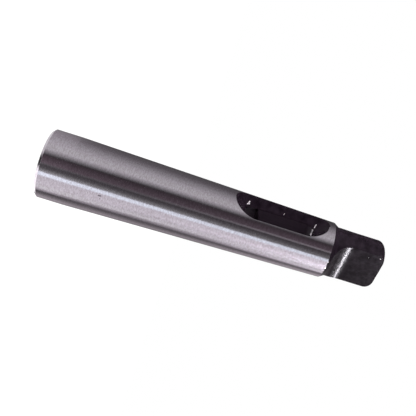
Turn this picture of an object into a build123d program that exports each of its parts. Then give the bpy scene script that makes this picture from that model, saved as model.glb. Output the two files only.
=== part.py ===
from build123d import *
import os
from math import cos, radians, sin

# A taper sleeve that seats a number 1 taper shank in a number 2 taper spindle.
# One piece of hardened steel. It stands on its big end: the origin is the centre of that
# face and +Z runs towards the tang. The drift slot runs through along Y, and the two flats
# of the tang face +X and -X. Millimetres throughout.

# Outside, from the big end to the tang
overall_length = 90.5
gauge_height = 15.9  # where the outside taper has its gauge diameter
gauge_diameter = 17.780
outside_taper = 0.04995  # change of diameter per millimetre of length
collar_length = 7.5  # straight part at the big end
big_end_chamfer = 0.7
shank_end_height = 76.2  # where the ground taper ends
shoulder_length = 1.35  # bevel between the ground taper and the tang

# Tang
tang_diameter = 13.1
tang_thickness = 6.3
tang_flat_length = 8.3  # full-depth part of each flat
tang_runout_radius = 6.0  # the cutter leaves this at the root of each flat
tang_end_rounding = 2.1
centre_hole_diameter = 2.0
centre_hole_depth = 2.6
centre_mouth_diameter = 3.4

# Socket in the big end
socket_diameter = 12.065  # at the mouth
socket_taper = 0.04988
socket_mouth_chamfer = 0.6
relief_diameter = 9.7
relief_depth = 56.0
drill_point_angle = 118.0

# Drift slot, right through from side to side
slot_width = 5.2
slot_start = 53.3
slot_length = 18.0
flare_start = 4.15  # distance from the axis where the 45 degree flare begins


def outside_radius(z):
    """Radius of the outside taper at height z."""
    return (gauge_diameter - outside_taper * (z - gauge_height)) / 2


# Sizes that follow from the ones above
collar_radius = outside_radius(collar_length)
shank_end_radius = outside_radius(shank_end_height)
tang_radius = tang_diameter / 2
tang_base_height = shank_end_height + shoulder_length
relief_radius = relief_diameter / 2
taper_depth = (socket_diameter - relief_diameter) / socket_taper
mouth_radius = (socket_diameter - socket_taper * socket_mouth_chamfer) / 2
drill_point_length = relief_radius / sin(radians(drill_point_angle / 2)) * cos(radians(drill_point_angle / 2))
flat_root_height = overall_length - tang_flat_length
slot_near_centre = slot_start + slot_width / 2
slot_far_centre = slot_start + slot_length - slot_width / 2
reach = collar_radius + 3.0  # cutters run this far out, clear of the steel


def turned(points):
    """Solid of revolution about Z of a closed outline of (radius, height) points."""
    outline = Polyline(*[(r, 0, z) for r, z in points], close=True)
    return revolve(Face(Wire(outline.edges())), Axis.Z, 360)


# Body: collar, ground taper, shoulder bevel and the round of the tang
rounding_centre = (tang_radius - tang_end_rounding, overall_length - tang_end_rounding)
side = Polyline(
    (0, 0, 0),
    (collar_radius - big_end_chamfer, 0, 0),
    (collar_radius, 0, big_end_chamfer),
    (collar_radius, 0, collar_length),
    (shank_end_radius, 0, shank_end_height),
    (tang_radius, 0, tang_base_height),
    (tang_radius, 0, rounding_centre[1]),
)
corner = ThreePointArc(
    (tang_radius, 0, rounding_centre[1]),
    (
        rounding_centre[0] + tang_end_rounding * cos(radians(45)),
        0,
        rounding_centre[1] + tang_end_rounding * sin(radians(45)),
    ),
    (rounding_centre[0], 0, overall_length),
)
close = Polyline((rounding_centre[0], 0, overall_length), (0, 0, overall_length), (0, 0, 0))
body = revolve(Face(Wire(side.edges() + corner.edges() + close.edges())), Axis.Z, 360)

# Socket: taper bore, straight relief bore and the drill point that ends it
socket = turned(
    [
        (0, -1.0),
        (mouth_radius + socket_mouth_chamfer + 1.0, -1.0),
        (mouth_radius, socket_mouth_chamfer),
        (relief_radius, taper_depth),
        (relief_radius, relief_depth),
        (0, relief_depth + drill_point_length),
    ]
)

# Flats of the tang, each with the cutter's radius at its root
flat_cutters = []
for way in (1, -1):
    depth = reach - tang_thickness / 2
    slab = Pos(way * (tang_thickness / 2 + depth / 2), 0, flat_root_height + tang_flat_length / 2 + 0.5) * Box(
        depth, 2 * reach, tang_flat_length + 1.0
    )
    root = Pos(way * (tang_thickness / 2 + tang_runout_radius), 0, flat_root_height) * (
        Rot(90, 0, 0) * Cylinder(tang_runout_radius, 2 * reach)
    )
    flat_cutters.append(slab + root)

# Centre hole in the end of the tang
centre_hole = turned(
    [
        (0, overall_length + 0.5),
        (centre_mouth_diameter / 2 + 0.5 * sin(radians(30)) / cos(radians(30)), overall_length + 0.5),
        (
            centre_hole_diameter / 2,
            overall_length - (centre_mouth_diameter - centre_hole_diameter) / 2 * cos(radians(30)) / sin(radians(30)),
        ),
        (centre_hole_diameter / 2, overall_length - centre_hole_depth),
        (0, overall_length - centre_hole_depth),
    ]
)

# Drift slot: straight through with round ends, opening out at 45 degrees to both sides
slot_centre_gap = slot_far_centre - slot_near_centre
slot_middle = (slot_near_centre + slot_far_centre) / 2
slot = Pos(0, 0, slot_middle) * Box(slot_width, 2 * reach, slot_centre_gap)
for height in (slot_near_centre, slot_far_centre):
    slot += Pos(0, 0, height) * (Rot(90, 0, 0) * Cylinder(slot_width / 2, 2 * reach))
flare_height = reach - flare_start
flare_width = slot_width / 2 + flare_height
for way in (1, -1):
    section = Polyline(
        (-slot_width / 2, way * flare_start, slot_near_centre),
        (slot_width / 2, way * flare_start, slot_near_centre),
        (flare_width, way * reach, slot_near_centre),
        (-flare_width, way * reach, slot_near_centre),
        close=True,
    )
    slot += extrude(Face(Wire(section.edges())), amount=slot_centre_gap, dir=(0, 0, 1))
    for height in (slot_near_centre, slot_far_centre):
        mouth = Rot(-90 * way, 0, 0) * Cone(slot_width / 2, flare_width, flare_height)
        slot += Pos(0, way * (flare_start + flare_height / 2), height) * mouth

sleeve = body - socket - slot - centre_hole
for cutter in flat_cutters:
    sleeve -= cutter

os.makedirs("parts", exist_ok=True)
export_step(sleeve, "parts/sleeve.step")
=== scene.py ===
"""A taper sleeve of hardened steel in a studio: bright, with its tang and its slot blackened."""
from collections import Counter
from math import cos, hypot, pi, radians, sin, tan

import bmesh
import bpy
from mathutils import Matrix, Vector


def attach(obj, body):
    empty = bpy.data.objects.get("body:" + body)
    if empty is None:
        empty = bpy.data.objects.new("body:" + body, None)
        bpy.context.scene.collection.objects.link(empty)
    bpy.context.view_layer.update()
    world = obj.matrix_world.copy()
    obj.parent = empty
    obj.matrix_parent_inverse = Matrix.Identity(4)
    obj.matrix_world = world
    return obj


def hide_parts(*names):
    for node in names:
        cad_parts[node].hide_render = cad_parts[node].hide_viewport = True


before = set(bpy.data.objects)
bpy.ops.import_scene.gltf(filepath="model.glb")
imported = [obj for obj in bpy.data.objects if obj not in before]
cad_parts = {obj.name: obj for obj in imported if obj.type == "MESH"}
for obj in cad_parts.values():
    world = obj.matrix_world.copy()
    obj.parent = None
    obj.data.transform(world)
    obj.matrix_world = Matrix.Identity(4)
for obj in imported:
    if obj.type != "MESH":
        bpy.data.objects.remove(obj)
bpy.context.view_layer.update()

MM = 0.001

# Sizes in millimetres, the same as in the part's source
overall_length = 90.5
gauge_height = 15.9
gauge_diameter = 17.780
outside_taper = 0.04995
collar_length = 7.5
big_end_chamfer = 0.7
shank_end_height = 76.2
shoulder_length = 1.35
tang_diameter = 13.1
tang_thickness = 6.3
tang_flat_length = 8.3
tang_runout_radius = 6.0
tang_end_rounding = 2.1
centre_hole_diameter = 2.0
centre_hole_depth = 2.6
centre_mouth_diameter = 3.4
centre_mouth_angle = 60.0
socket_diameter = 12.065
socket_taper = 0.04988
socket_mouth_chamfer = 0.6
relief_diameter = 9.7
relief_depth = 56.0
drill_point_angle = 118.0
slot_width = 5.2
slot_start = 53.3
slot_length = 18.0
flare_start = 4.15


def outside_radius(z):
    """Radius of the outside taper at height z."""
    return (gauge_diameter - outside_taper * (z - gauge_height)) / 2


# Sizes that follow from the ones above
flat_root_height = overall_length - tang_flat_length
runout_centre = tang_thickness / 2 + tang_runout_radius  # of a flat's round run-out, from the axis
slot_centres = (slot_start + slot_width / 2, slot_start + slot_length - slot_width / 2)
taper_depth = (socket_diameter - relief_diameter) / socket_taper
mouth_radius = (socket_diameter - socket_taper * socket_mouth_chamfer) / 2
centre_cone_length = (centre_mouth_diameter - centre_hole_diameter) / 2 / tan(radians(centre_mouth_angle / 2))
drill_point_length = relief_diameter / 2 / tan(radians(drill_point_angle / 2))

# What only the scene needs
edge_round = 0.12  # radius of the turned edges
slot_edge_break = 0.11  # how far the edges round the slot's mouths are broken
tang_edge_break = 0.09  # and the edges of the flats
segments_round = 360
reach = 12.0  # the cutters run this far from the axis
between_cuts = shank_end_height - 2  # a cut face below this height counts as the slot's, else as a flat's
skin = 1.0  # a face is outside if it lies less than this under the taper


def linear(hex_colour):
    """A colour written as sRGB hex, as linear red, green, blue and 1."""
    parts = [int(hex_colour[i : i + 2], 16) / 255 for i in (1, 3, 5)]
    return (*[c / 12.92 if c <= 0.04045 else ((c + 0.055) / 1.055) ** 2.4 for c in parts], 1.0)


def node(tree, kind, inputs=None, **settings):
    """A new node in tree, with its settings, and its inputs set or linked."""
    made = tree.nodes.new(kind)
    for name, value in settings.items():
        setattr(made, name, value)
    for key, value in (inputs or {}).items():
        for one in value if isinstance(value, list) else [value]:
            if isinstance(one, bpy.types.NodeSocket):
                tree.links.new(one, made.inputs[key])
            else:
                made.inputs[key].default_value = one
    return made


def placed(name, data):
    """A new object with this mesh or camera, in the scene."""
    made = bpy.data.objects.new(name, data)
    bpy.context.scene.collection.objects.link(made)
    return made


# Materials


def new_material(name):
    """An empty material and its tree."""
    made = bpy.data.materials.new(name)
    made.use_nodes = True
    made.node_tree.nodes.clear()
    return made, made.node_tree


# Painted glints: bright strokes on the slot's flare and end that stand in for glints of light,
# and other small marks: start, end and half width of each stroke in millimetres
painted_slot_glints = [
    ((-2.9, -5.46, 53.35), (-2.25, -5.17, 53.1), 0.22),
    ((-2.0, -5.2, 52.85), (-2.5, -5.02, 53.5), 0.18),
    ((-2.2, -5.2, 71.62), (-1.5, -4.6, 71.35), 0.13),
    ((-1.0, -3.9, 71.1), (-0.9, -2.6, 71.1), 0.4),
    ((-3.0, -4.55, 62.9), (-3.25, -4.8, 63.0), 0.06),
]
tang_specks = [
    ((3.15, -4.85, 89.15), (3.15, -4.8, 89.25), 0.1),
    ((3.15, -4.1, 86.25), (3.15, -4.05, 86.35), 0.04),
]
shoulder_burrs = [((7.03, -2.05, 76.25), (7.0, -2.0, 76.35), 0.2)]
grinding_nicks = [
    ((8.67, -1.89, 16.55), (8.65, -1.94, 17.0), 0.2),
    ((8.8, -1.1, 16.95), (8.8, -1.08, 17.1), 0.1),
]


def within_marks(tree, place, marks):
    """1 within any of the marks and 0 outside them."""
    fade = 0.4  # a mark fades out from this share of its half width inside its border to as much outside
    inside = []
    for start, end, half_width in marks:
        start, end = Vector(start) * MM, Vector(end) * MM
        stroke = end - start
        per_length = stroke / stroke.length_squared
        offset = node(tree, "ShaderNodeVectorMath", {0: place, 1: start}, operation="SUBTRACT")
        share = node(
            tree,
            "ShaderNodeVectorMath",
            {0: offset.outputs[0], 1: per_length},
            operation="DOT_PRODUCT",
        )
        held = node(tree, "ShaderNodeClamp", {"Value": share.outputs["Value"]})
        foot = node(tree, "ShaderNodeVectorMath", {0: stroke, "Scale": held.outputs[0]}, operation="SCALE")
        away = node(
            tree,
            "ShaderNodeVectorMath",
            {0: offset.outputs[0], 1: foot.outputs[0]},
            operation="DISTANCE",
        )
        near = node(
            tree,
            "ShaderNodeMapRange",
            {
                "Value": away.outputs["Value"],
                "From Min": half_width * (1 - fade) * MM,
                "From Max": half_width * (1 + fade) * MM,
                "To Min": 1.0,
                "To Max": 0.0,
            },
        )
        inside.append(near.outputs[0])
    whole = inside[0]
    for one in inside[1:]:
        whole = node(tree, "ShaderNodeMath", {0: whole, 1: one}, operation="MAXIMUM").outputs[0]
    return whole


def ground_steel():
    """Hardened steel ground between centres: fine rings round the axis, a slightly violet grey."""
    made, tree = new_material("ground_steel")
    place = node(tree, "ShaderNodeTexCoord").outputs["Object"]
    # Grinding scratches are about 0.02 mm apart. These are 0.35 mm apart and twice as long, so that
    # they show.
    scratch_scale = (1.5 / MM, 1.5 / MM, 2.9 / MM)
    rings = node(tree, "ShaderNodeMapping", {"Vector": place, "Scale": scratch_scale})
    scratches = node(tree, "ShaderNodeTexNoise", {"Vector": rings.outputs[0], "Scale": 1.0, "Detail": 3.0})
    tone = node(
        tree,
        "ShaderNodeMapRange",
        {"Value": scratches.outputs["Fac"], "From Min": 0.3, "From Max": 0.7, "To Min": 0.0, "To Max": 1.0},
    )
    colour = node(
        tree,
        "ShaderNodeMix",
        {"Factor": tone.outputs[0], "A": linear("#c1b8c0"), "B": linear("#d7d1da")},
        data_type="RGBA",
    )
    nicked = within_marks(tree, place, grinding_nicks)
    colour = node(
        tree,
        "ShaderNodeMix",
        {"Factor": nicked, "A": colour.outputs["Result"], "B": linear("#827a84")},
        data_type="RGBA",
    )
    # The wheel's finish changes slowly, over about 17 mm
    cloud = node(tree, "ShaderNodeTexNoise", {"Vector": place, "Scale": 0.06 / MM, "Detail": 2.0})
    gloss = node(
        tree,
        "ShaderNodeMapRange",
        {"Value": cloud.outputs["Fac"], "From Min": 0.3, "From Max": 0.7, "To Min": 0.155, "To Max": 0.18},
    )
    bump = node(
        tree,
        "ShaderNodeBump",
        {"Height": scratches.outputs["Fac"], "Strength": 0.5, "Distance": 0.01 * MM},
    )
    along = node(tree, "ShaderNodeCombineXYZ", {"Z": 1.0})
    steel = node(
        tree,
        "ShaderNodeBsdfPrincipled",
        {
            "Base Color": colour.outputs["Result"],
            "Metallic": 1.0,
            "Roughness": gloss.outputs[0],
            "Anisotropic": 0.76,
            "Tangent": along.outputs[0],
            "Normal": bump.outputs[0],
        },
    )
    node(tree, "ShaderNodeOutputMaterial", {"Surface": steel.outputs[0]})
    return made


def rubbed_edge():
    """Bare steel where a stone or a drift has taken the black off an edge."""
    made, tree = new_material("rubbed_edge")
    place = node(tree, "ShaderNodeTexCoord").outputs["Object"]
    # A grit of about 0.3 mm, so that it shows
    grit = node(tree, "ShaderNodeTexNoise", {"Vector": place, "Scale": 3.0 / MM, "Detail": 2.0})
    gloss = node(
        tree,
        "ShaderNodeMapRange",
        {"Value": grit.outputs["Fac"], "From Min": 0.3, "From Max": 0.7, "To Min": 0.3, "To Max": 0.45},
    )
    steel = node(
        tree,
        "ShaderNodeBsdfPrincipled",
        {"Base Color": linear("#b6b0b8"), "Metallic": 1.0, "Roughness": gloss.outputs[0]},
    )
    node(tree, "ShaderNodeOutputMaterial", {"Surface": steel.outputs[0]})
    return made


def faced_steel():
    """The end face as the lathe left it: fine rings round the bore, a little rougher than ground."""
    made, tree = new_material("faced_steel")
    place = node(tree, "ShaderNodeTexCoord").outputs["Object"]
    parts = node(tree, "ShaderNodeSeparateXYZ", {"Vector": place})
    flat = node(tree, "ShaderNodeCombineXYZ", {"X": parts.outputs["X"], "Y": parts.outputs["Y"]})
    radius = node(tree, "ShaderNodeVectorMath", {0: flat.outputs[0]}, operation="LENGTH")
    feed = 0.1 * MM  # of the tool, in each turn
    turns = node(
        tree,
        "ShaderNodeMath",
        {0: radius.outputs["Value"], 1: 2 * pi / feed},
        operation="MULTIPLY",
    )
    rings = node(tree, "ShaderNodeMath", {0: turns.outputs[0]}, operation="SINE")
    bump = node(tree, "ShaderNodeBump", {"Height": rings.outputs[0], "Strength": 0.5, "Distance": 0.003 * MM})
    outwards = node(tree, "ShaderNodeVectorMath", {0: flat.outputs[0]}, operation="NORMALIZE")
    steel = node(
        tree,
        "ShaderNodeBsdfPrincipled",
        {
            "Base Color": linear("#bdb7be"),
            "Metallic": 1.0,
            "Roughness": 0.3,
            "Anisotropic": 0.7,
            "Tangent": outwards.outputs[0],
            "Normal": bump.outputs[0],
        },
    )
    node(tree, "ShaderNodeOutputMaterial", {"Surface": steel.outputs[0]})
    return made


def black_oxide():
    """Steel blackened in a hot salt bath and oiled: a near-black violet with a soft sheen, a few bare
    specks, painted light deep in the slot, and painted glints as bright strokes at the slot's ends."""
    made, tree = new_material("black_oxide")
    place = node(tree, "ShaderNodeTexCoord").outputs["Object"]
    # Mottled in patches of about 2 mm
    cloud = node(
        tree,
        "ShaderNodeTexNoise",
        {"Vector": place, "Scale": 0.5 / MM, "Detail": 5.0, "Roughness": 0.6},
    )
    patchy = node(
        tree,
        "ShaderNodeMapRange",
        {"Value": cloud.outputs["Fac"], "From Min": 0.36, "From Max": 0.64, "To Min": 0.0, "To Max": 1.0},
    )
    oiled = node(
        tree,
        "ShaderNodeMix",
        {"Factor": patchy.outputs[0], "A": linear("#181119"), "B": linear("#282029")},
        data_type="RGBA",
    )
    # Painted light: the walls deep in the slot get a lighter, greyer colour that stands in for the light
    # reaching them
    parts = node(tree, "ShaderNodeSeparateXYZ", {"Vector": place})
    depth = node(tree, "ShaderNodeMath", {0: parts.outputs["Y"]}, operation="ABSOLUTE")
    deep = node(
        tree,
        "ShaderNodeMapRange",
        {
            "Value": depth.outputs[0],
            "From Min": flare_start * MM,
            "From Max": (flare_start - 0.2) * MM,
            "To Min": 0.0,
            "To Max": 1.0,
        },
    )
    below_tang = node(
        tree,
        "ShaderNodeMath",
        {0: parts.outputs["Z"], 1: shank_end_height * MM},
        operation="LESS_THAN",
    )
    painted_light_deep = node(tree, "ShaderNodeMath", {0: deep.outputs[0], 1: below_tang.outputs[0]}, operation="MULTIPLY")
    colour = node(
        tree,
        "ShaderNodeMix",
        {"Factor": painted_light_deep.outputs[0], "A": oiled.outputs["Result"], "B": linear("#332b34")},
        data_type="RGBA",
    )
    gloss = node(
        tree,
        "ShaderNodeMapRange",
        {"Value": cloud.outputs["Fac"], "From Min": 0.3, "From Max": 0.7, "To Min": 0.16, "To Max": 0.23},
    )
    # The slot holds less oil than the tang and shines less
    tang_shine, slot_shine = 0.14, 0.04
    shine = node(
        tree,
        "ShaderNodeMath",
        {0: below_tang.outputs[0], 1: slot_shine - tang_shine, 2: tang_shine},
        operation="MULTIPLY_ADD",
    )
    # Marks of the milling cutter across the flats and along the slot, 0.4 mm apart so that they show
    fine = node(tree, "ShaderNodeMapping", {"Vector": place, "Scale": (0.4 / MM, 0.4 / MM, 2.5 / MM)})
    marks = node(tree, "ShaderNodeTexNoise", {"Vector": fine.outputs[0], "Scale": 1.0, "Detail": 2.0})
    bump = node(
        tree,
        "ShaderNodeBump",
        {"Height": marks.outputs["Fac"], "Strength": 0.12, "Distance": 0.01 * MM},
    )
    oxide = node(
        tree,
        "ShaderNodeBsdfPrincipled",
        {
            "Base Color": colour.outputs["Result"],
            "Roughness": gloss.outputs[0],
            "IOR": 1.5,
            "Specular IOR Level": shine.outputs[0],
            "Normal": bump.outputs[0],
        },
    )
    # Specks up to 0.3 mm across, about 3 mm apart
    spots = node(tree, "ShaderNodeTexVoronoi", {"Vector": place, "Scale": 0.3 / MM})
    speck = node(tree, "ShaderNodeMath", {0: spots.outputs["Distance"], 1: 0.045}, operation="LESS_THAN")
    # The strokes in the slot are painted glints, bright patches in place of glints of light
    # A mark goes through the black only where the mottling is thin
    bare_marks_and_glints = within_marks(tree, place, painted_slot_glints + tang_specks + shoulder_burrs)
    broken_up = node(tree, "ShaderNodeMath", {0: bare_marks_and_glints, 1: cloud.outputs["Fac"]}, operation="MULTIPLY")
    stroke = node(tree, "ShaderNodeMath", {0: broken_up.outputs[0], 1: 0.36}, operation="GREATER_THAN")
    bare = node(tree, "ShaderNodeMath", {0: stroke.outputs[0], 1: speck.outputs[0]}, operation="MAXIMUM")
    # Rough bright steel for the bare specks and for the painted glints
    steel = node(
        tree,
        "ShaderNodeBsdfPrincipled",
        {"Base Color": linear("#f2eef2"), "Metallic": 0.3, "Roughness": 0.5},
    )
    surface = node(
        tree,
        "ShaderNodeMixShader",
        {0: bare.outputs[0], 1: oxide.outputs[0], 2: steel.outputs[0]},
    )
    node(tree, "ShaderNodeOutputMaterial", {"Surface": surface.outputs[0]})
    return made


def drilled_steel():
    """The drilled end of the bore: dull grey, lightened as painted light, and matte at the slot."""
    made, tree = new_material("drilled_steel")
    place = node(tree, "ShaderNodeTexCoord").outputs["Object"]
    # The drill's feed marks, 0.25 mm apart
    rings = node(tree, "ShaderNodeMapping", {"Vector": place, "Scale": (0.3 / MM, 0.3 / MM, 4.0 / MM)})
    feed = node(tree, "ShaderNodeTexNoise", {"Vector": rings.outputs[0], "Scale": 1.0, "Detail": 2.0})
    colour = node(
        tree,
        "ShaderNodeMix",
        {"Factor": feed.outputs["Fac"], "A": linear("#362f37"), "B": linear("#433b44")},
        data_type="RGBA",
    )
    # Near the slot the bore turns matte and violet grey; that grey is painted light, not black
    height = node(tree, "ShaderNodeSeparateXYZ", {"Vector": place})
    blackened = node(
        tree,
        "ShaderNodeMapRange",
        {
            "Value": height.outputs["Z"],
            "From Min": (slot_start - 3) * MM,
            "From Max": (slot_start - 1) * MM,
            "To Min": 0.0,
            "To Max": 1.0,
        },
    )
    colour = node(
        tree,
        "ShaderNodeMix",
        {"Factor": blackened.outputs[0], "A": colour.outputs["Result"], "B": linear("#3a323b")},
        data_type="RGBA",
    )
    bare_metal, black_metal = 0.2, 0.0
    bare_shine, black_shine = 0.5, 0.04
    metal = node(
        tree,
        "ShaderNodeMath",
        {0: blackened.outputs[0], 1: black_metal - bare_metal, 2: bare_metal},
        operation="MULTIPLY_ADD",
    )
    shine = node(
        tree,
        "ShaderNodeMath",
        {0: blackened.outputs[0], 1: black_shine - bare_shine, 2: bare_shine},
        operation="MULTIPLY_ADD",
    )
    bump = node(
        tree,
        "ShaderNodeBump",
        {"Height": feed.outputs["Fac"], "Strength": 0.4, "Distance": 0.01 * MM},
    )
    steel = node(
        tree,
        "ShaderNodeBsdfPrincipled",
        {
            "Base Color": colour.outputs["Result"],
            "Metallic": metal.outputs[0],
            "Roughness": 0.5,
            "Specular IOR Level": shine.outputs[0],
            "Normal": bump.outputs[0],
        },
    )
    node(tree, "ShaderNodeOutputMaterial", {"Surface": steel.outputs[0]})
    return made


# The turned body: an outline swept round the axis, with its slot and flats cut

turned_sizes = {
    "Overall length": overall_length * MM,
    "Collar radius": outside_radius(collar_length) * MM,
    "Collar face radius": (outside_radius(collar_length) - big_end_chamfer) * MM,
    "Collar chamfer": big_end_chamfer * MM,
    "Collar length": collar_length * MM,
    "Shank end radius": outside_radius(shank_end_height) * MM,
    "Shank end height": shank_end_height * MM,
    "Tang radius": tang_diameter / 2 * MM,
    "Tang base height": (shank_end_height + shoulder_length) * MM,
    "Tang end rounding": tang_end_rounding * MM,
    "Centre mouth radius": centre_mouth_diameter / 2 * MM,
    "Centre cone height": (overall_length - centre_cone_length) * MM,
    "Centre hole radius": centre_hole_diameter / 2 * MM,
    "Centre hole bottom": (overall_length - centre_hole_depth) * MM,
    "Socket mouth radius": mouth_radius * MM,
    "Socket face radius": (mouth_radius + socket_mouth_chamfer) * MM,
    "Socket chamfer": socket_mouth_chamfer * MM,
    "Relief radius": relief_diameter / 2 * MM,
    "Socket taper depth": taper_depth * MM,
    "Relief depth": relief_depth * MM,
    "Drill point height": (relief_depth + drill_point_length) * MM,
    "Edge round": edge_round * MM,
}
# Radius and height of each corner, from the drill point through the socket, over the outside and
# into the centre hole; None stands for nought
outline = [
    (None, "Drill point height"),
    ("Relief radius", "Relief depth"),
    ("Relief radius", "Socket taper depth"),
    ("Socket mouth radius", "Socket chamfer"),
    ("Socket face radius", None),
    ("Collar face radius", None),
    ("Collar radius", "Collar chamfer"),
    ("Collar radius", "Collar length"),
    ("Shank end radius", "Shank end height"),
    ("Tang radius", "Tang base height"),
    ("Tang radius", "Overall length"),
    ("Centre mouth radius", "Overall length"),
    ("Centre hole radius", "Centre cone height"),
    ("Centre hole radius", "Centre hole bottom"),
    (None, "Centre hole bottom"),
]


def turned_and_milled():
    """The tree that turns the outline between named sizes and cuts the other meshes from it."""
    tree = bpy.data.node_groups.new("turned_and_milled", "GeometryNodeTree")
    tree.interface.new_socket("Geometry", in_out="OUTPUT", socket_type="NodeSocketGeometry")
    for name in turned_sizes:
        tree.interface.new_socket(name, in_out="INPUT", socket_type="NodeSocketFloat")
    tree.interface.new_socket("Segments round", in_out="INPUT", socket_type="NodeSocketInt")
    for name in ("Slot cutter", "Flat cutter"):
        tree.interface.new_socket(name, in_out="INPUT", socket_type="NodeSocketObject")
    tree.interface.new_socket("Body material", in_out="INPUT", socket_type="NodeSocketMaterial")
    given = node(tree, "NodeGroupInput").outputs
    weld = 0.0001 * MM
    path_radius = 1.0 * MM  # the sweep adds this to every radius, so the outline leaves it out
    path = node(
        tree,
        "GeometryNodeCurvePrimitiveCircle",
        {"Resolution": given["Segments round"], "Radius": path_radius},
    )
    corners = []
    for radius, height in outline:
        sideways = node(
            tree,
            "ShaderNodeMath",
            {0: given[radius] if radius else 0.0, 1: path_radius},
            operation="SUBTRACT",
        )
        down = node(
            tree,
            "ShaderNodeMath",
            {0: given[height] if height else 0.0, 1: -1.0},
            operation="MULTIPLY",
        )
        corner = node(tree, "ShaderNodeCombineXYZ", {"X": sideways.outputs[0], "Y": down.outputs[0]})
        corners.append(corner.outputs[0])
    lines = [
        node(tree, "GeometryNodeCurvePrimitiveLine", {"Start": start, "End": end}).outputs[0]
        for start, end in zip(corners, corners[1:])
    ]
    joined = node(tree, "GeometryNodeJoinGeometry", {"Geometry": lines})
    wires = node(tree, "GeometryNodeCurveToMesh", {"Curve": joined.outputs[0]})
    chain = node(tree, "GeometryNodeMergeByDistance", {"Geometry": wires.outputs[0], "Distance": weld})
    drawn = node(tree, "GeometryNodeMeshToCurve", {"Mesh": chain.outputs[0]})
    # The tang's outer corner has a radius of its own, and the other corners are edges to break
    end_slack, side_slack = 0.1 * MM, 0.2 * MM
    edge_steps, tang_steps = 2, 12
    position = node(tree, "GeometryNodeInputPosition")
    place = node(tree, "ShaderNodeSeparateXYZ", {"Vector": position.outputs[0]})
    near_end = node(
        tree,
        "ShaderNodeMath",
        {0: end_slack, 1: given["Overall length"]},
        operation="SUBTRACT",
    )
    near_side = node(
        tree,
        "ShaderNodeMath",
        {0: given["Tang radius"], 1: path_radius + side_slack},
        operation="SUBTRACT",
    )
    at_end = node(
        tree,
        "ShaderNodeMath",
        {0: place.outputs["Y"], 1: near_end.outputs[0]},
        operation="LESS_THAN",
    )
    at_side = node(
        tree,
        "ShaderNodeMath",
        {0: place.outputs["X"], 1: near_side.outputs[0]},
        operation="GREATER_THAN",
    )
    tang_corner = node(
        tree,
        "ShaderNodeMath",
        {0: at_end.outputs[0], 1: at_side.outputs[0]},
        operation="MULTIPLY",
    )
    rounding = node(
        tree,
        "GeometryNodeSwitch",
        {"Switch": tang_corner.outputs[0], "False": given["Edge round"], "True": given["Tang end rounding"]},
        input_type="FLOAT",
    )
    steps = node(
        tree,
        "GeometryNodeSwitch",
        {"Switch": tang_corner.outputs[0], "False": edge_steps, "True": tang_steps},
        input_type="INT",
    )
    rounded = node(
        tree,
        "GeometryNodeFilletCurve",
        {
            "Curve": drawn.outputs[0],
            "Radius": rounding.outputs[0],
            "Count": steps.outputs[0],
            "Limit Radius": True,
        },
        mode="POLY",
    )
    swept = node(
        tree,
        "GeometryNodeCurveToMesh",
        {"Curve": path.outputs[0], "Profile Curve": rounded.outputs[0]},
    )
    closed = node(tree, "GeometryNodeMergeByDistance", {"Geometry": swept.outputs[0], "Distance": weld})
    # The body takes its material before it is cut, because the cuts bring their own
    painted = node(
        tree,
        "GeometryNodeSetMaterial",
        {"Geometry": closed.outputs[0], "Material": given["Body material"]},
    )
    cutters = [
        node(tree, "GeometryNodeObjectInfo", {"Object": given[name]}).outputs["Geometry"]
        for name in ("Slot cutter", "Flat cutter")
    ]
    cut = node(
        tree,
        "GeometryNodeMeshBoolean",
        {"Mesh 1": painted.outputs[0], "Mesh 2": cutters},
        operation="DIFFERENCE",
        solver="EXACT",
    )
    whole = node(tree, "GeometryNodeRealizeInstances", {"Geometry": cut.outputs[0]})
    node(tree, "NodeGroupOutput", {"Geometry": whole.outputs[0]})
    return tree


def closed_loft(name, rings, material):
    """An object whose mesh joins rings of equally many points and is capped at both ends."""
    count = len(rings[0])
    points = [tuple(c * MM for c in p) for ring in rings for p in ring]
    faces = [tuple(range(count))[::-1], tuple(range(len(points) - count, len(points)))]
    for low in range(0, len(points) - count, count):
        high = low + count
        for i in range(count):
            j = (i + 1) % count
            faces.append((low + i, low + j, high + j, high + i))
    mesh = bpy.data.meshes.new(name)
    mesh.from_pydata(points, [], faces)
    mesh.materials.append(material)
    made = placed(name, mesh)
    shape = bmesh.new()
    shape.from_mesh(mesh)
    bmesh.ops.recalc_face_normals(shape, faces=shape.faces)
    shape.to_mesh(mesh)
    shape.free()
    return made


def slot_ring(half_width, y, steps=48):
    """The slot's outline, a rectangle with round ends, at one distance from the axis."""
    points = []
    for centre, first in ((slot_centres[1], 0), (slot_centres[0], pi)):
        for i in range(steps + 1):
            angle = first + pi * i / steps
            points.append((half_width * cos(angle), y, centre + half_width * sin(angle)))
    return points


def slot_cutter(material):
    """The drift slot with its flare at 45 degrees on both sides."""
    half = slot_width / 2
    wide = half + reach - flare_start
    rings = [
        slot_ring(wide, -reach),
        slot_ring(half, -flare_start),
        slot_ring(half, flare_start),
        slot_ring(wide, reach),
    ]
    return closed_loft("slot_cutter", rings, material)


def flat_cutter(material):
    """Both flats of the tang, each with the round run-out of the cutter at its root."""
    low, high = flat_root_height - tang_runout_radius, overall_length + 2
    far = reach + 4
    steps = 64
    halves = []
    for way in (1, -1):
        arc = []
        for i in range(steps + 1):
            angle = pi * (1.5 - i / steps) if way > 0 else pi * (-0.5 + i / steps)
            if sin(angle) <= 1e-9:
                x = way * runout_centre + tang_runout_radius * cos(angle)
                arc.append((x, flat_root_height + tang_runout_radius * sin(angle)))
        side = [*arc, (way * tang_thickness / 2, high), (way * far, high), (way * far, low)]
        rings = [[(x, y, z) for x, z in side] for y in (-reach, reach)]
        halves.append(closed_loft("flat_cutter", rings, material))
    first, second = halves
    shape = bmesh.new()
    shape.from_mesh(first.data)
    shape.from_mesh(second.data)
    shape.to_mesh(first.data)
    shape.free()
    bpy.data.objects.remove(second)
    return first


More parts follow.
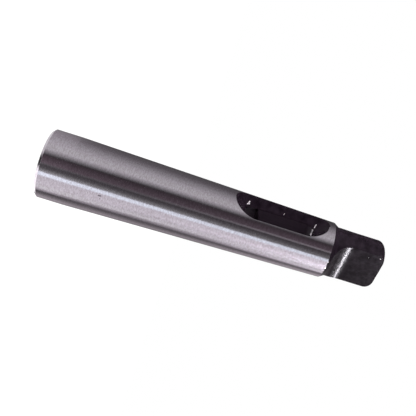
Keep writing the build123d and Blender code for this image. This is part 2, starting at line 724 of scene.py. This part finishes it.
def finished_mesh(piece):
    """A plain mesh of the piece as its modifiers leave it."""
    return bpy.data.meshes.new_from_object(piece.evaluated_get(bpy.context.evaluated_depsgraph_get()))


def make_sleeve(steel, oxide):
    """The sleeve as turned and milled, with its edges still sharp."""
    slot_tool, flat_tool = slot_cutter(oxide), flat_cutter(oxide)
    blank = placed("blank", bpy.data.meshes.new("blank"))
    tree = turned_and_milled()
    modifier = blank.modifiers.new("turned_and_milled", "NODES")
    modifier.node_group = tree
    values = {
        **turned_sizes,
        "Segments round": segments_round,
        "Slot cutter": slot_tool,
        "Flat cutter": flat_tool,
        "Body material": steel,
    }
    for item in tree.interface.items_tree:
        if item.in_out == "INPUT":
            modifier[item.identifier] = values[item.name]
    mesh = finished_mesh(blank)
    for tool in (slot_tool, flat_tool, blank):
        bpy.data.objects.remove(tool)
    mesh.name = "sleeve_turned"
    return placed("sleeve_turned", mesh)


# The finishes, by their places among the sleeve's materials. The turned body, what the two cutters
# leave and what the stone leaves hold the first three until the faces get their finish.
ground, black, rubbed, faced, drilled = range(5)


def face_family(face):
    """Which tool left a face: turning, the slot's cutter, the cutter of the flats or the stone
    that broke the edges."""
    if face.material_index == ground:
        return "turned"
    if face.material_index == rubbed:
        return "edge"
    return "slot" if face.calc_center_median().z < between_cuts * MM else "flat"


def turned_profile(face):
    """A turned face's direction as its part away from the axis and its part along it."""
    outwards = hypot(face.normal.x, face.normal.y)
    centre = face.calc_center_median()
    if face.normal.x * centre.x + face.normal.y * centre.y < 0:
        outwards = -outwards
    return outwards, face.normal.z


def turned_direction(face, point, profile=None):
    """A turned face's direction at one of its corners, true to the circle there."""
    outwards = Vector((point.x, point.y, 0))
    if outwards.length < 0.001 * MM:
        outwards = face.calc_center_median()
        outwards.z = 0
    away, up = profile or turned_profile(face)
    return (outwards.normalized() * away + Vector((0, 0, up))).normalized()


def slot_direction(face, point):
    """The direction of the slot's wall or flare at one of its corners."""
    middle = min(max(point.z / MM, slot_centres[0]), slot_centres[1]) * MM
    inwards = Vector((-point.x, 0, middle - point.z)).normalized()
    on_flare = abs(face.normal.y) > 0.3
    if on_flare:
        inwards.y = 1 if point.y > 0 else -1
    return inwards.normalized()


def flat_direction(face, point):
    """The direction of a flat of the tang, or of its round run-out, at one of its corners."""
    way = 1 if point.x > 0 else -1
    if point.z >= (flat_root_height - 0.0001) * MM:
        return Vector((way, 0, 0))
    axis = way * runout_centre * MM
    return Vector((axis - point.x, 0, flat_root_height * MM - point.z)).normalized()


directions = {"turned": turned_direction, "slot": slot_direction, "flat": flat_direction}


def is_bore_edge(edge, cut):
    """Whether the edge lies where the slot breaks into the bore, which no stone reaches."""
    middle = (edge.verts[0].co + edge.verts[1].co) / 2
    return cut == "slot" and hypot(middle.x, middle.y) / MM < outside_radius(middle.z / MM) - skin


def cut_edges(shape):
    """The closed edges that the slot and the flats leave in the turned outside, each as a list
    of its points with the directions of the two surfaces that meet there."""
    sides = {}
    for edge in shape.edges:
        found = {face_family(face): face for face in edge.link_faces}
        if len(found) < 2 or "turned" not in found:
            continue
        cut = next(name for name in found if name != "turned")
        if is_bore_edge(edge, cut):
            continue
        start, end = edge.verts
        for vertex, next_vertex in ((start, end), (end, start)):
            round_way = turned_direction(found["turned"], vertex.co)
            cut_way = directions[cut](found[cut], vertex.co)
            sides.setdefault(vertex, []).append((next_vertex, (round_way, cut_way)))
    fewest_points = 9
    loops = []
    while sides:
        vertex = next(iter(sides))
        loop = []
        while vertex in sides:
            ways = sides.pop(vertex)
            first = sum((pair[0] for _, pair in ways), Vector()).normalized()
            second = sum((pair[1] for _, pair in ways), Vector()).normalized()
            loop.append((vertex.co.copy(), first, second))
            onward = [following for following, _ in ways if following in sides]
            if not onward:
                break
            vertex = onward[0]
        if len(loop) >= fewest_points:
            loops.append(loop)
    return loops


def thinned(loop, spacing):
    """The loop without the points that lie closer together than the spacing."""
    kept = [loop[0]]
    for point in loop[1:]:
        if (point[0] - kept[-1][0]).length > spacing and (point[0] - kept[0][0]).length > spacing:
            kept.append(point)
    return kept


def stone(loops, material):
    """Three-sided rings that take a narrow bevel off each loop, wider on the slot. A ring's flat
    side lies a little past the bevel at both its edges, and its third corner is clear of the steel."""
    past, clear = 0.6, 1.6  # as shares of the bevel
    spacing = 0.15 * MM
    mesh = bpy.data.meshes.new("stone")
    shape = bmesh.new()
    for loop in loops:
        corners = []
        width = (tang_edge_break if loop[0][0].z > shank_end_height * MM else slot_edge_break) * MM
        for point, first, second in thinned(loop, spacing):
            across = (first * first.dot(second) - second).normalized() * width
            down = (second * first.dot(second) - first).normalized() * width
            slope = (across - down) * past
            outside = (first + second).normalized() * width * clear
            corners.append([shape.verts.new(point + way) for way in (across + slope, down - slope, outside)])
        for ring, following in zip(corners, corners[1:] + corners[:1]):
            for i in range(3):
                j = (i + 1) % 3
                shape.faces.new((ring[i], ring[j], following[j], following[i]))
    bmesh.ops.recalc_face_normals(shape, faces=shape.faces)
    shape.to_mesh(mesh)
    shape.free()
    mesh.materials.append(material)
    return placed("stone", mesh)


def break_edges(piece, material):
    """Takes the sharpness off the edges of the slot and of the flats."""
    shape = bmesh.new()
    shape.from_mesh(piece.data)
    loops = cut_edges(shape)
    shape.free()
    tool = stone(loops, material)
    modifier = piece.modifiers.new("break_edges", "BOOLEAN")
    modifier.object = tool
    modifier.operation = "DIFFERENCE"
    modifier.solver = "EXACT"
    modifier.use_self = True
    modifier.material_mode = "TRANSFER"
    broken = finished_mesh(piece)
    piece.modifiers.clear()
    piece.data = broken
    bpy.data.objects.remove(tool)


def mend(mesh):
    """Welds the points that the cuts left doubled and makes every face a triangle."""
    weld = 0.0002 * MM
    shape = bmesh.new()
    shape.from_mesh(mesh)
    bmesh.ops.remove_doubles(shape, verts=shape.verts, dist=weld)
    bmesh.ops.triangulate(shape, faces=shape.faces)
    # Two faces on the same three corners enclose nothing, so both go
    twins = {}
    for face in shape.faces:
        twins.setdefault(frozenset(face.verts), []).append(face)
    folded = [face for pair in twins.values() if len(pair) > 1 for face in pair]
    bmesh.ops.delete(shape, geom=folded, context="FACES")
    bmesh.ops.dissolve_degenerate(shape, edges=shape.edges, dist=weld)
    shape.to_mesh(mesh)
    shape.free()


def settled_profiles(shape):
    """The profile of every turned face. A sliver's own direction is unsure, so it takes the
    profile of the face across its longest edge."""
    found = {face: turned_profile(face) for face in shape.faces if face_family(face) == "turned"}
    rounded = {face: (round(away, 3), round(up, 3)) for face, (away, up) in found.items()}
    how_many = Counter(rounded.values())
    sure = 90  # a profile that this many faces share is a true one
    for _ in range(3):
        for face in found:
            if how_many[rounded[face]] >= sure:
                continue
            longest = max(face.edges, key=lambda edge: edge.calc_length())
            for other in longest.link_faces:
                if other in found and how_many[rounded[other]] >= sure:
                    found[face], rounded[face] = found[other], rounded[other]
    return found, rounded


def true_normals(mesh):
    """Gives every corner the direction of the true surface, because facets would show in the
    reflections. A wide face keeps its own direction out to its edges, and the narrow faces of a
    broken edge turn from one neighbour's direction to the other's."""
    narrow = 0.5 * MM
    one_bend = cos(radians(50))  # faces that meet at less than this angle blend into each other
    shape = bmesh.new()
    shape.from_mesh(mesh)
    profiles, rounded = settled_profiles(shape)
    family = {face: face_family(face) for face in shape.faces}
    width = {}
    for face, key in rounded.items():
        near = [(hypot(v.co.x, v.co.y), v.co.z) for v in face.verts]
        length = max(hypot(a[0] - b[0], a[1] - b[1]) for a in near for b in near)
        width[key] = max(width.get(key, 0), length)

    def is_wide(face):
        if face in rounded:
            return width[rounded[face]] > narrow
        return family[face] != "edge"

    def own(face, point):
        if family[face] == "edge":
            return face.normal.copy()
        if family[face] == "turned":
            return turned_direction(face, point, profiles[face])
        return directions[family[face]](face, point)

    normals = []
    for face in shape.faces:
        wide = is_wide(face)
        for loop in face.loops:
            point = loop.vert.co
            mine = own(face, point)
            if not wide:
                near = [(other, own(other, point)) for other in loop.vert.link_faces]
                near = [(other, way) for other, way in near if way.dot(mine) > one_bend]
                broad = [way for other, way in near if is_wide(other)]
                if broad:
                    mine = max(broad, key=mine.dot)
                else:
                    distinct = {tuple(round(c, 2) for c in way): way for _, way in near}
                    mine = sum(distinct.values(), Vector()).normalized()
            # No corner of a face that can be seen turns more than 60 degrees away from it
            if mine.dot(face.normal) < 0.5 and face.calc_area() > 0.001 * MM * MM:
                mine = face.normal.copy()
            normals.append(mine)
    shape.free()
    mesh.polygons.foreach_set("use_smooth", [True] * len(mesh.polygons))
    mesh.normals_split_custom_set(normals)


def finish_of(face):
    """Which of the finishes a face has, from where it is on the sleeve."""
    end_face_top = 0.01
    tang_foot = shank_end_height + 0.02
    centre = face.calc_center_median() / MM
    outside = hypot(centre.x, centre.y) > outside_radius(centre.z) - skin
    if face.material_index == rubbed:
        # The drift rubs one long edge of each mouth, and the others are blackened
        return rubbed if centre.z < shank_end_height and centre.x * centre.y < 0 else black
    if face.material_index == black or centre.z > tang_foot:
        return black
    if not outside and centre.z > taper_depth:
        return drilled
    return faced if centre.z < end_face_top else ground


def finish_faces(mesh, finishes):
    """Gives the mesh its finishes, and each face its own."""
    shape = bmesh.new()
    shape.from_mesh(mesh)
    indices = [finish_of(face) for face in shape.faces]
    shape.free()
    mesh.materials.clear()
    for finish in finishes:
        mesh.materials.append(finish)
    mesh.polygons.foreach_set("material_index", indices)


finishes = [ground_steel(), black_oxide(), rubbed_edge(), faced_steel(), drilled_steel()]
sleeve = make_sleeve(finishes[ground], finishes[black])
break_edges(sleeve, finishes[rubbed])
mend(sleeve.data)
true_normals(sleeve.data)
finish_faces(sleeve.data, finishes)

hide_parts("sleeve")
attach(sleeve, "root")

# Camera: a 60 mm lens 180 mm from the axis, nearly square on to the sleeve's side and rolled over

turn = radians(51.54)  # from the flats' plane to the line of sight
roll = radians(17.29)
camera_height, camera_distance = 37.63, 180.25
aim_height, aim_above = 43.56, 1.24

along = Vector((0, 0, 1))
toward = Vector((sin(turn), -cos(turn), 0))
above = Vector((-cos(turn), -sin(turn), 0))
stand = along * camera_height * MM + toward * camera_distance * MM
aim = along * aim_height * MM + above * aim_above * MM
back = (stand - aim).normalized()
right = (along - along.dot(back) * back).normalized()
up = back.cross(right)
turned_right = right * cos(roll) + up * sin(roll)
turned_up = up * cos(roll) - right * sin(roll)
lens = bpy.data.cameras.new("camera")
lens.lens = 60
lens.sensor_width = 36
lens.clip_start = 0.01
camera = placed("camera", lens)
camera.matrix_world = Matrix((turned_right, turned_up, back)).transposed().to_4x4()
camera.matrix_world.translation = stand
bpy.context.scene.camera = camera

# World and floor


def studio_world():
    """A world that is white to the eye and in mirror images, and faint as a light."""
    world = bpy.data.worlds.new("studio")
    world.use_nodes = True
    tree = world.node_tree
    tree.nodes.clear()
    path = node(tree, "ShaderNodeLightPath").outputs
    seen = path["Is Camera Ray"]
    for ray in ("Is Glossy Ray", "Is Transmission Ray"):
        seen = node(tree, "ShaderNodeMath", {0: seen, 1: path[ray]}, operation="MAXIMUM").outputs[0]
    soft = node(tree, "ShaderNodeBackground", {"Color": (1, 1, 1, 1), "Strength": 0.15})
    white = node(tree, "ShaderNodeBackground", {"Color": (1, 1, 1, 1), "Strength": 1.0})
    mixed = node(tree, "ShaderNodeMixShader", {0: seen, 1: soft.outputs[0], 2: white.outputs[0]})
    node(tree, "ShaderNodeOutputWorld", {"Surface": mixed.outputs[0]})
    return world


bpy.context.scene.world = studio_world()


def floor_paper():
    """White paper: its own brightness to the eye, with a little of the light that falls on it. It
    is clear from below, so that the underside of the sleeve can be seen."""
    made, tree = new_material("floor_paper")
    paper = node(tree, "ShaderNodeBsdfDiffuse", {"Color": (0.8, 0.8, 0.8, 1)})
    glow = node(tree, "ShaderNodeEmission", {"Color": (1, 1, 1, 1), "Strength": 1.2})
    path = node(tree, "ShaderNodeLightPath")
    glow_share = 0.85  # of what the eye sees; the rest is lit paper
    seen = node(
        tree,
        "ShaderNodeMath",
        {0: path.outputs["Is Camera Ray"], 1: glow_share},
        operation="MULTIPLY",
    )
    mixed = node(tree, "ShaderNodeMixShader", {0: seen.outputs[0], 1: paper.outputs[0], 2: glow.outputs[0]})
    side = node(tree, "ShaderNodeNewGeometry")
    clear = node(tree, "ShaderNodeBsdfTransparent")
    surface = node(
        tree,
        "ShaderNodeMixShader",
        {0: side.outputs["Backfacing"], 1: mixed.outputs[0], 2: clear.outputs[0]},
    )
    node(tree, "ShaderNodeOutputMaterial", {"Surface": surface.outputs[0]})
    return made


def stage_piece(name, points, faces, material):
    """A piece of the studio, which is no part of the sleeve."""
    mesh = bpy.data.meshes.new(name)
    mesh.from_pydata(points, [], faces)
    mesh.materials.append(material)
    made = placed(name, mesh)
    return made


half_floor = 30.0
floor_corners = [(x * half_floor, y * half_floor, 0) for x, y in ((-1, -1), (1, -1), (1, 1), (-1, 1))]
floor = stage_piece("floor", floor_corners, [(0, 1, 2, 3)], floor_paper())
floor.visible_glossy = False  # the lower half of the sleeve mirrors cards and not the floor

# Cards round the sleeve: each is an arc of a tall tent, placed by its angle from the line of sight


def card_light():
    """A card that gives off the level of light that its corners say."""
    made, tree = new_material("card_light")
    level = node(tree, "ShaderNodeAttribute", attribute_name="level")
    glow = node(tree, "ShaderNodeEmission", {"Color": level.outputs["Color"], "Strength": 1.0})
    node(tree, "ShaderNodeOutputMaterial", {"Surface": glow.outputs[0]})
    return made


card_material = card_light()
tent_radius = 0.45
tent_low, tent_high = -1.0, 1.1
# Heights that are mirrored by the big end, the collar, the middle of the sleeve and the tang
stations = (-0.085, -0.05, 0.055, 0.215)


def coloured(level, tint):
    """A level of light with its tint, as red, green, blue and 1."""
    return [*(level * share for share in tint), 1.0]


def hung(name, points, faces, colours):
    """A card, which is there for its mirror image only."""
    made = stage_piece(name, points, faces, card_material)
    made.data.attributes.new("level", "FLOAT_COLOR", "POINT").data.foreach_set("color", colours)
    made.visible_camera = False
    made.visible_shadow = False
    made.visible_diffuse = False
    return made


def card(name, edges, tint=(1, 1, 1), heights=None, radius=tent_radius):
    """A card between two edges of the tent. Each edge has its angle in degrees up from the line
    of sight and its level of light; both may change along the sleeve."""
    rows = heights
    if rows is None:
        rows = [(tent_low, 0), *[(height, place) for place, height in enumerate(stations)], (tent_high, 3)]
    (first_angles, first_levels), (last_angles, last_levels) = edges
    step = 3  # degrees
    steps = max(2, int(abs(last_angles[1] - first_angles[1]) / step))
    points, faces, colours = [], [], []
    for i in range(steps + 1):
        share = i / steps
        for height, place in rows:
            angle = radians(first_angles[place] * (1 - share) + last_angles[place] * share)
            side = toward * cos(angle) + above * sin(angle)
            points.append(tuple(side * radius + along * height))
            colours += coloured(first_levels[place] * (1 - share) + last_levels[place] * share, tint)
    count = len(rows)
    for i in range(steps):
        for j in range(count - 1):
            faces.append((count * i + j, count * i + j + 1, count * (i + 1) + j + 1, count * (i + 1) + j))
    return hung(name, points, faces, colours)


def edge(angle, *levels, lean=(0, 0, 0, 0)):
    """An edge of a card: its angle with its lean added, and its levels at the big end, the collar,
    the middle and the tang (one level serves for all four)."""
    return [angle + turned for turned in lean], levels * 4 if len(levels) == 1 else levels


def end_card(name, height, ups, levels, tint=(1, 1, 1), nears=(-1.2, 1.2)):
    """A flat card across the axis, above or below the sleeve, seen by its bevels."""
    points, colours = [], []
    for up_edge, level in zip(ups, levels):
        for near in nears:
            points.append(tuple(toward * near + above * up_edge + along * height))
            colours += coloured(level, tint)
    faces = [(2 * i, 2 * i + 1, 2 * i + 3, 2 * i + 2) for i in range(len(ups) - 1)]
    return hung(name, points, faces, colours)


def as_fill(made):
    """Turns a card into a soft light that no mirror image shows."""
    made.visible_glossy = False
    made.visible_diffuse = True


violet_dark = (1, 0.79, 0.91)
violet_grey = (1, 0.95, 0.995)
faint_violet = (1, 0.98, 1.005)
mauve = (1, 0.93, 0.965)
bluish = (1, 1.1, 1.165)

card("backing", (edge(-180, 0.06), edge(180, 0.06)), radius=0.48)

# From behind the sleeve over its top: a scrim, dark at its foot and where the upper outline mirrors it
back_edge = edge(180, 0.55, 0.8, 0.25, 0.05)
far_edge = edge(157, 0.26, 0.1, 0.08, 0.055, lean=(1, 0, 3, 6))
low_edge = edge(118, 0.46, 0.155, 0.14, 0.09)
mid_edge = edge(100, 0.51, 0.27, 0.235, 0.22)
high_edge = edge(66, 0.65, 0.565, 0.535, 0.51)
front_edge = edge(46, 0.63, 0.65, 0.61, 0.57, lean=(0, 0, 0, -3))
scrim_foot = edge(24, 0.035, lean=(0, 0, 1, -3))
card("top_scrim_behind", (far_edge, back_edge), violet_grey)
card("top_scrim_far", (low_edge, far_edge), violet_grey)
card("top_scrim_low", (mid_edge, low_edge), violet_grey)
card("top_scrim_mid", (high_edge, mid_edge), faint_violet)
card("top_scrim", (front_edge, high_edge))
card("top_scrim_edge", (scrim_foot, front_edge), faint_violet)

# Across the line of sight: dark flags with a gap between them
low_lean = (0, 0, -1, -4)
flag_top = edge(24, 0.065, 0.043, 0.04, 0.05, lean=(0, 0, 1, -3))
flag_middle = edge(-3, 0.2, 0.135, 0.11, 0.125)
gap_top = edge(-3, 0.21, 0.12, 0.165, 0.35)
gap_foot = edge(-9, 0.12, 0.08, 0.12, 0.26)
low_flag_top = edge(-9, 0.088, 0.063, 0.05, 0.04)
flag_foot = edge(-19, 0.12, 0.11, 0.115, 0.12, lean=low_lean)
grey_foot = edge(-32, 0.5, 0.4, 0.33, 0.2, lean=low_lean)
card("dark_flag", (flag_middle, flag_top), violet_dark)
card("gap_in_flag", (gap_foot, gap_top), violet_grey)
card("dark_flag_low", (flag_foot, low_flag_top), violet_grey)
card("grey_gap", (grey_foot, flag_foot))

# Below it: a cool strip light and a large softbox
strip_levels = (1.3, 1.12, 1.05, 1.0)
strip_foot = edge(-44, *strip_levels, lean=low_lean)
strip_top = edge(-32, *strip_levels, lean=low_lean)
box_top = edge(-44, 0.77, 0.75, 0.75, 0.95, lean=low_lean)
box_high = edge(-64, 0.82, 0.78, 0.76, 0.94)
box_middle = edge(-76, 0.84, 0.8, 0.5, 0.5)
box_low = edge(-90, 0.84, 0.83, 0.8, 0.57)
box_foot = edge(-97, 0.8, 0.52, 0.45, 1.1, lean=(3, 4, 0.5, -11))
card("strip_light", (strip_foot, strip_top), bluish)
card("softbox", (box_high, box_top), faint_violet)
card("softbox_middle", (box_middle, box_high), faint_violet)
card("softbox_low", (box_low, box_middle))
card("softbox_foot", (box_foot, box_low))

# Underneath and round to the back: a shaded gap and a card that gets lighter, then darker
shade = edge(-111, 0.055, 0.085, 0.095, 0.105, lean=(3, 3.5, -2.5, -8))
under = edge(-140, 0.47, 0.385, 0.36, 0.53)
under_back = edge(-180, 0.24, 0.17, 0.1, 0.28)
card("softbox_edge", (shade, box_foot), violet_grey)
card("low_card", (under, shade), mauve)
card("low_card_far", (under_back, under), mauve)

# A small strong lamp that only the run-out of the flat mirrors; its light fades to nought at the
# first and last of its heights
lamp_level = 168
card(
    "side_lamp",
    (edge(-102.5, 0, lamp_level, 0, 0), edge(-76, 0, lamp_level, 0, 0)),
    tint=(1, 0.97, 1.04),
    heights=((0.326, 0), (0.378, 1), (0.44, 1), (0.5, 0)),
)

# Two soft lights that no mirror image shows, one from the front and one from above
for name, angles, level in (("front_fill", (0, 12), 7.0), ("overhead_fill", (40, 140), 1.7)):
    as_fill(card(name, [edge(angle, level) for angle in angles], (1, 0.94, 0.97), radius=0.47))

# Across the axis: a dark card past the tang, a row of cards below the big end and a third soft light
end_card("top_flag", 0.9, (-0.9, 0.9), (0.06, 0.06))
end_card(
    "under_cards",
    -0.2,
    (-0.4, -0.04, -0.02, 0.02, 0.05, 0.4),
    (1.6, 1.6, 0.05, 0.05, 0.85, 0.85),
    nears=(-0.6, 0.03),
)
as_fill(end_card("end_fill", 0.6, (-0.3, 0.3), (0.6, 0.6), (1, 0.93, 0.97)))

bpy.context.scene.view_settings.view_transform = "Standard"
